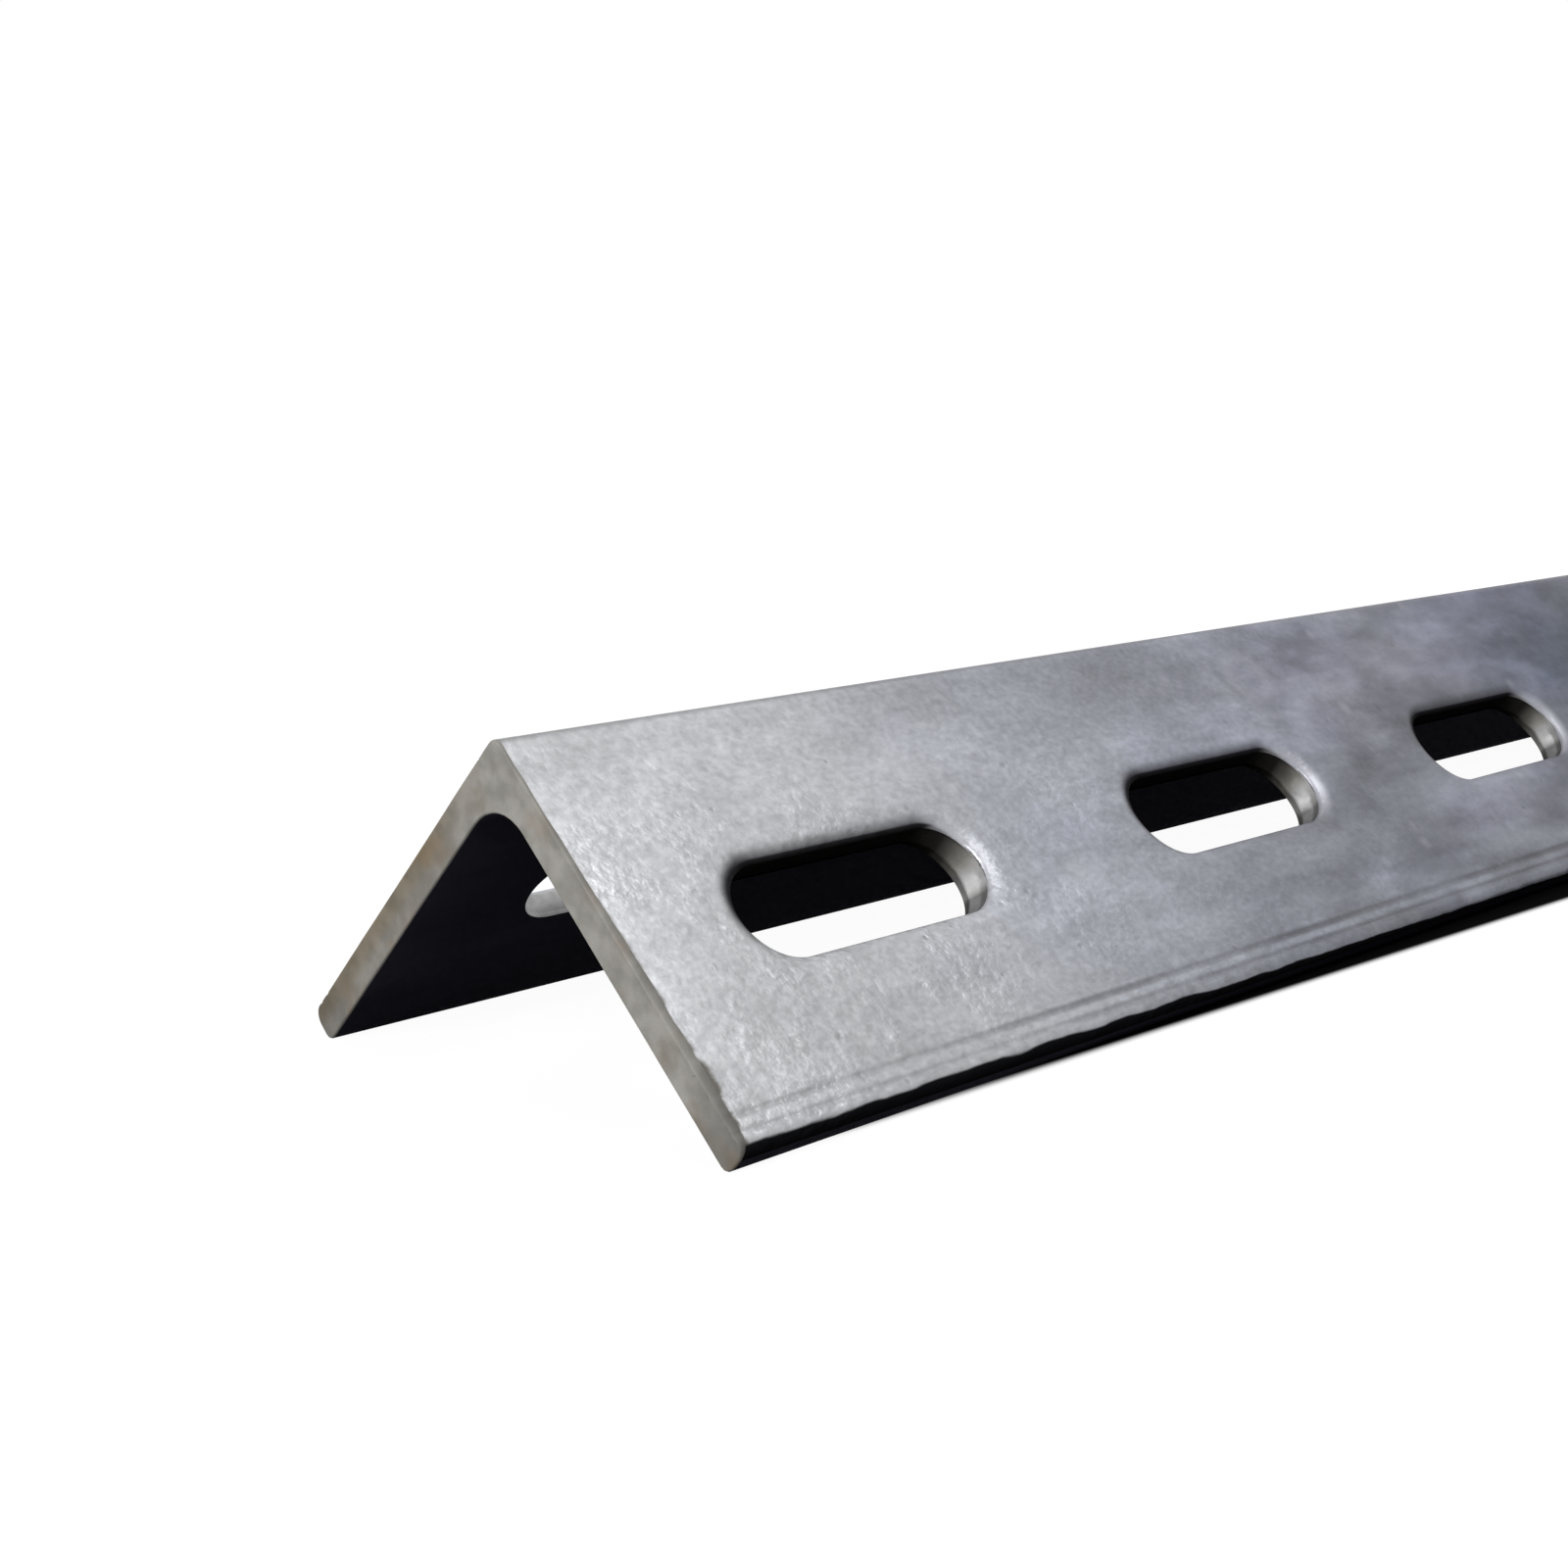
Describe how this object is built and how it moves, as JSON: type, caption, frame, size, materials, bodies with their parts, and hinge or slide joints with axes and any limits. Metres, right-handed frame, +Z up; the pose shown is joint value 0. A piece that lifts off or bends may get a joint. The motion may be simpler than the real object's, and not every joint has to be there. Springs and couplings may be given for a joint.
{
  "type": "slotted steel angle",
  "caption": "Equal-leg steel angle bar, punched along both legs with a row of long slots for bolts.",
  "frame": {"origin": "on the floor under the middle of the bar, as it lies heel up on its two toes", "axes": "+X along the bar, away from the end that the picture shows; +Y towards the leg at the back; +Z up, through the heel"},
  "size_m": [0.9144, 0.0528, 0.0284],
  "materials": {
    "steel": "rolled and lightly pitted, dull, with sheared ends"
  },
  "bodies": {
    "root": {"slotted_angle": "steel"}
  },
  "joints": []
}
